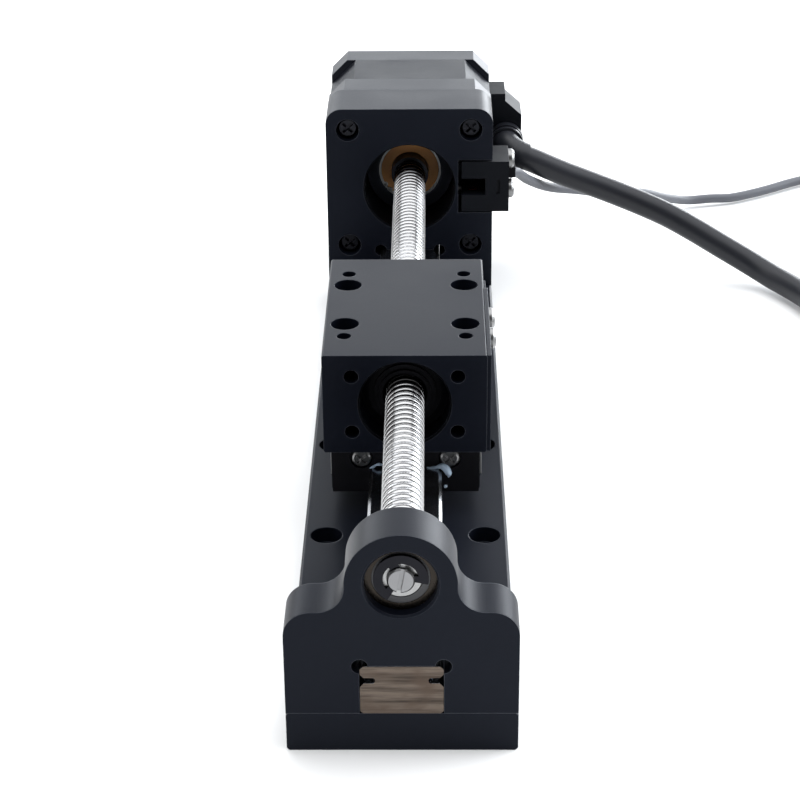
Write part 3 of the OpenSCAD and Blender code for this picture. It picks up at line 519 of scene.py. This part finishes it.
def metal(name, a, b, rough, edge=0.00012):
    n = Net(name)
    cloud = n.noise(60, 4)
    lines = n.noise(900, 2)
    n.set("Base Color", n.mottle(cloud, a, b))
    n.set("Roughness", n.math("ADD", n.ramp(cloud, rough[0], rough[1], 0.3, 0.7), n.ramp(lines, -0.04, 0.04)))
    n.set("Metallic", 1.0)
    n.bump([(lines, 0.000004)], edge)
    return n.mat


def plastic(name, a, b, rough=(0.42, 0.55), edge=0.0002, grain=3000, bump=0.000008, spec=0.45):
    n = Net(name)
    cloud = n.noise(70, 3)
    fine = n.noise(grain, 2)
    n.set("Base Color", n.mottle(cloud, a, b))
    n.set("Roughness", n.ramp(cloud, rough[0], rough[1], 0.3, 0.7))
    n.set("Specular IOR Level", spec)
    n.bump([(fine, bump)], edge)
    return n.mat


def lamination():
    """The edges of the stator's steel sheets."""
    n = Net("laminations")
    half_sheet = 0.00025
    sheet = n.math("PINGPONG", n.split(n.coord.outputs["Object"])["Y"], half_sheet)
    cloud = n.noise(50, 4)
    n.set("Base Color", n.mottle(cloud, (0.008, 0.009, 0.012), (0.016, 0.017, 0.022)))
    n.set("Roughness", n.ramp(cloud, 0.38, 0.5, 0.3, 0.7))
    n.set("Specular IOR Level", 0.15)
    n.set("Specular Tint", COOL_TINT)
    n.bump([(n.ramp(sheet, 0, 1, 0, half_sheet), 0.00003)], 0.0002)
    return n.mat


def rail_steel():
    """Ground rail: bright sides with fine lines along it, and a tarnished, saw-cut end."""
    n = Net("rail_steel")
    cloud = n.noise(45, 5)
    lines = n.noise(700, 3, (1, 0.02, 1))
    streak = n.noise(420, 4, (0.12, 1, 2.2), 0.65)
    geo = n.tree.nodes.new("ShaderNodeNewGeometry")
    end = n.math("GREATER_THAN", n.math("ABSOLUTE", n.split(geo.outputs["True Normal"])["Y"]), 0.9)
    body = n.mottle(cloud, (0.34, 0.35, 0.37), (0.44, 0.45, 0.47))
    tarnish = n.mix(n.ramp(streak, 0, 1, 0.36, 0.62), (0.045, 0.034, 0.027), (0.150, 0.118, 0.094))
    patch = n.noise(260, 3, (0.5, 1, 1))
    tarnish = n.mix(n.ramp(patch, 0, 1, 0.5, 0.72), tarnish, (0.090, 0.064, 0.048))
    n.set("Base Color", n.mix(end, body, tarnish))
    n.set("Roughness", n.math("ADD", n.ramp(cloud, 0.16, 0.26, 0.3, 0.7), n.math("MULTIPLY", end, 0.22)))
    n.set("Metallic", n.math("SUBTRACT", 1.0, n.math("MULTIPLY", end, 0.25)))
    n.bump([(lines, 0.000003), (streak, 0.00001)], 0.00012)
    return n.mat


def jacket(name, a, b, rough, ripple):
    n = Net(name)
    cloud = n.noise(35, 4)
    fine = n.noise(2200, 2)
    slow = n.noise(90, 2)
    n.set("Base Color", n.mottle(cloud, a, b))
    n.set("Roughness", n.math("ADD", n.ramp(cloud, rough[0], rough[1], 0.3, 0.7), n.ramp(fine, -0.03, 0.03)))
    n.set("Specular IOR Level", 0.32)
    n.bump([(slow, ripple), (fine, 0.000006)])
    return n.mat


BLACK_A, BLACK_B = (0.0035, 0.0045, 0.0085), (0.0055, 0.0068, 0.0120)
MATERIALS = {
    "anodised": anodised("anodised_black", BLACK_A, BLACK_B, spec=0.12),
    # The table and the bracket get painted shade about the screw's axis, each within its own radius
    "table": anodised("anodised_table", BLACK_A, BLACK_B, spec=0.10, painted_shade_radius=0.0096),
    "bracket": anodised("anodised_bracket", BLACK_A, BLACK_B, spec=0.14, painted_shade_radius=0.0117),
    "motor": anodised("motor_black", (0.006, 0.007, 0.011), (0.010, 0.011, 0.016), spec=0.21),
    "plastic": plastic("moulded_black", (0.0035, 0.0045, 0.007), (0.006, 0.007, 0.010), spec=0.09),
    "rubber": plastic("rubber_black", (0.004, 0.004, 0.006), (0.006, 0.006, 0.008), (0.5, 0.65), 0.0001,
                      spec=0.1),
    "screw": screw_steel(),
    "journal": metal("ground_journal", (0.20, 0.20, 0.205), (0.27, 0.27, 0.275), (0.26, 0.36)),
    "nut": metal("nut_steel", (0.006, 0.006, 0.008), (0.014, 0.014, 0.017), (0.3, 0.4)),
    "steel": metal("ground_steel", (0.28, 0.28, 0.28), (0.38, 0.38, 0.375), (0.28, 0.40)),
    "bronze": metal("bearing_race", (0.018, 0.016, 0.014), (0.038, 0.032, 0.027), (0.20, 0.30)),
    "shield": metal("bearing_shield", (0.04, 0.04, 0.042), (0.075, 0.075, 0.078), (0.3, 0.45)),
    "plated": metal("plated_screw", (0.20, 0.20, 0.20), (0.30, 0.30, 0.30), (0.26, 0.38)),
    "bright": metal("bright_screw", (0.55, 0.55, 0.53), (0.66, 0.65, 0.63), (0.2, 0.3)),
    # Blackened steel for the screws, and painted shade on the screw collar
    "oxide_and_shade": metal("black_oxide_and_shade", (0.018, 0.019, 0.023), (0.035, 0.036, 0.042), (0.3, 0.42), 0.00015),
    "clip": metal("clip_black", (0.010, 0.010, 0.012), (0.018, 0.018, 0.021), (0.14, 0.24)),
    "seal": plastic("seal_orange", (0.34, 0.145, 0.03), (0.42, 0.19, 0.05), (0.45, 0.6)),
    "copper": metal("copper_wire", (0.68, 0.30, 0.16), (0.78, 0.38, 0.22), (0.25, 0.4)),
    "lens": plastic("dark_lens", (0.05, 0.006, 0.006), (0.09, 0.012, 0.01), (0.12, 0.2)),
    "magnet": plastic("magnet_grey", (0.06, 0.06, 0.065), (0.10, 0.10, 0.105), (0.5, 0.65)),
    "grease": plastic("grease_blue", (0.34, 0.47, 0.64), (0.58, 0.70, 0.82), (0.25, 0.4), edge=0.0,
                      grain=1200, bump=0.00004, spec=0.5),
    "tie": plastic("nylon_tie", (0.02, 0.02, 0.022), (0.035, 0.035, 0.04), (0.4, 0.5)),
    "white": plastic("nylon_white", (0.36, 0.35, 0.31), (0.44, 0.43, 0.39), (0.4, 0.55)),
    "laminations": lamination(),
    "rail": rail_steel(),
    "black_cable": jacket("cable_black", (0.008, 0.009, 0.013), (0.014, 0.015, 0.020), (0.36, 0.46),
                          ripple=0.00006),
    "grey_cable": jacket("cable_grey", (0.085, 0.09, 0.105), (0.115, 0.12, 0.135), (0.42, 0.52),
                         ripple=0.00003),
}

USES = {
    "anodised": ["base_plate", "end_block", "flag_plate"],
    "table": ["table"],
    "bracket": ["motor_bracket"],
    "grease": grease_strings,
    "motor": ["motor_front_cap", "motor_rear_cap"],
    "laminations": ["stator"],
    "copper": ["windings"],
    "rail": ["rail"],
    "screw": [screw_thread],
    "journal": [journal, rear_journal],
    "nut": ["ball_nut"],
    "steel": ["guide_block", "front_bearing_inner", "front_bearing_balls", "motor_bearing_outer",
              "motor_bearing_balls", "motor_bearing_inner", "rear_bearing_outer", "rear_bearing_balls",
              "rear_bearing_inner", "nut_balls", "guide_balls", "retaining_ring", "wave_washer",
              "rotor_cups"],
    "bronze": ["front_bearing_outer"],
    "shield": ["front_bearing_shields"],
    "plated": ["guide_cap_screws", "sensor_screws", "flag_screws", "nut_screws", "end_block_screws",
               "bracket_screws", "motor_bolts"],
    "bright": ["table_screws"],
    # screw_collar is a near-black part standing in for the shade in the seal's hole: painted shade
    "oxide_and_shade": ["motor_mount_screws", "rail_screws", "screw_collar"],
    "clip": ["e_clip"],
    "seal": ["motor_bearing_seal"],
    "magnet": ["rotor_magnet"],
    "plastic": ["sensor_body", "guide_end_cap_front", "guide_end_cap_rear", "cable_outlet_box",
                "motor_connector"],
    "rubber": ["guide_seals", "nut_wipers", "sensor_cable_boot"],
    "lens": ["sensor_windows"],
    "black_cable": ["cable_boot", cable],
    "grey_cable": [lead_cable],
    "tie": ["motor_cable_tie", "sensor_cable_tie"],
    "white": ["sensor_connector"],
}


def paint(obj, material):
    obj.data.materials.clear()
    obj.data.materials.append(material)


for key, items in USES.items():
    for item in items:
        paint(NODES[item] if isinstance(item, str) else item, MATERIALS[key])

# ---------------------------------------------------------------- floor, backdrop and light
floor_mat = Net("floor")
floor_mat.set("Base Color", (0.93, 0.93, 0.93))
floor_mat.set("Roughness", floor_mat.ramp(floor_mat.noise(3, 2), 0.75, 0.85))
floor = box_mesh("floor", (-4, -4, -0.01), (4, 4, -0.00002))
paint(floor, floor_mat.mat)


def softbox(name, at, aim, size, power, colour=(1, 1, 1)):
    data = bpy.data.lights.new(name, "AREA")
    data.shape = "RECTANGLE"
    data.size, data.size_y = size
    data.energy = power
    data.color = colour
    obj = bpy.data.objects.new(name, data)
    turn = (Vector(aim) - Vector(at)).to_track_quat("-Z", "Y")
    obj.matrix_world = Matrix.Translation(at) @ turn.to_matrix().to_4x4()
    bpy.context.scene.collection.objects.link(obj)


COOL_LIGHT = (0.93, 0.965, 1.0)
softbox("softbox_top", (0.0, 0.35, 1.6), (0, 0.35, 0), (2.6, 2.6), 56, (0.97, 0.985, 1.0))
softbox("softbox_back", (0.0, 2.0, 0.52), (0, 0, 0.05), (3.0, 0.8), 27, COOL_LIGHT)
softbox("softbox_low", (1.25, 2.0, 0.35), (0, 0.1, 0.06), (1.6, 0.7), 26, COOL_LIGHT)
softbox("softbox_left", (-1.1, -0.1, 0.55), (0, 0, 0.03), (0.5, 0.8), 4)
softbox("softbox_right", (1.3, 0.35, 0.6), (0, 0.08, 0.04), (0.9, 1.0), 22, COOL_LIGHT)

world = bpy.data.worlds.new("studio")
bpy.context.scene.world = world
world.use_nodes = True
background = world.node_tree.nodes["Background"]
background.inputs["Color"].default_value = (1.0, 1.0, 1.0, 1.0)
background.inputs["Strength"].default_value = 0.2

bpy.context.scene.view_settings.view_transform = "Standard"
